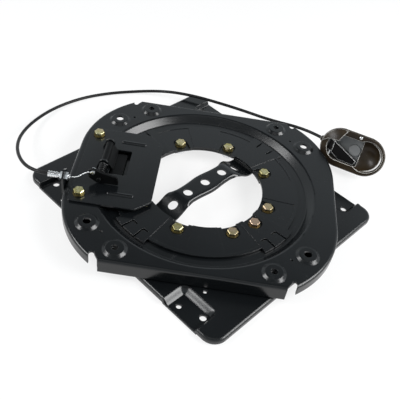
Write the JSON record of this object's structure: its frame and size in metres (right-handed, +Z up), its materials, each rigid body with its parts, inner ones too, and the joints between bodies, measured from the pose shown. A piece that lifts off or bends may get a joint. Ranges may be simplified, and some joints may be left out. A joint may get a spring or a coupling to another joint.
{
  "type": "swivel seat base",
  "caption": "Pressed steel swivel turntable for a camper seat, with a bolted retaining ring, a cable-worked lock and an oval pull handle.",
  "frame": {"origin": "on the swivel axis at the floor the base pads stand on", "axes": "+Z up along the swivel axis; X and Y along the rows of seat holes, -Y towards the viewer"},
  "size_m": [0.5573, 0.4908, 0.0705],
  "materials": {
    "black_paint": "satin black paint",
    "yellow_zinc": "yellow passivated zinc plating",
    "bright_zinc": "bright zinc plating",
    "slide_plastic": "dull slide plastic",
    "cable_jacket": "black cable jacket",
    "handle_plastic": "dark glossy plastic",
    "insert_plastic": "grey plastic",
    "spring_steel": "oiled spring steel"
  },
  "bodies": {
    "base": {"base_plate": "black_paint", "retainer_ring": "black_paint", "ring_bolts": "yellow_zinc", "ring_washers": "bright_zinc", "ring_nuts": "bright_zinc", "center_strap": "black_paint", "lower_slide_liner": "slide_plastic", "upper_slide_liner": "slide_plastic"},
    "turntable": {"turntable_plate": "black_paint", "seat_weld_nuts": "bright_zinc", "lock_plate": "black_paint", "lock_plate_bolts": "yellow_zinc", "lock_plate_washers": "bright_zinc", "lock_plate_nuts": "bright_zinc", "cable_bracket": "black_paint", "cable_adjuster": "bright_zinc", "adjuster_nuts": "bright_zinc", "cable_ferrule": "bright_zinc", "cable_sheath": "cable_jacket", "inner_wire": "bright_zinc", "handle_housing": "handle_plastic", "handle_insert": "insert_plastic", "handle_gland": "handle_plastic", "handle_screw": "bright_zinc", "handle_paddle_pin": "bright_zinc"},
    "latch": {"latch_pin": "spring_steel", "latch_pawl": "black_paint", "release_arm": "black_paint", "wire_nipple": "bright_zinc", "latch_spring": "spring_steel"},
    "paddle": {"handle_paddle": "handle_plastic"}
  },
  "joints": [
    {"name": "swivel", "type": "hinge", "parent": "base", "child": "turntable", "pos_m": [0, 0, 0], "axis": [0, 0, 1], "continuous": true},
    {"name": "latch_lift", "type": "hinge", "parent": "turntable", "child": "latch", "pos_m": [-0.145, 0, 0.04596], "axis": [0, -1, 0], "range_deg": [0, 14], "deforming": ["inner_wire", "latch_spring"]},
    {"name": "paddle_pull", "type": "hinge", "parent": "turntable", "child": "paddle", "pos_m": [0.18954, 0.12483, 0.04001], "axis": [-0.1175, -0.3229, -0.9391], "range_deg": [0, 25]}
  ],
  "couplings": [
    {"joint": "paddle_pull", "follows": "latch_lift", "ratio": 1.7857}
  ]
}
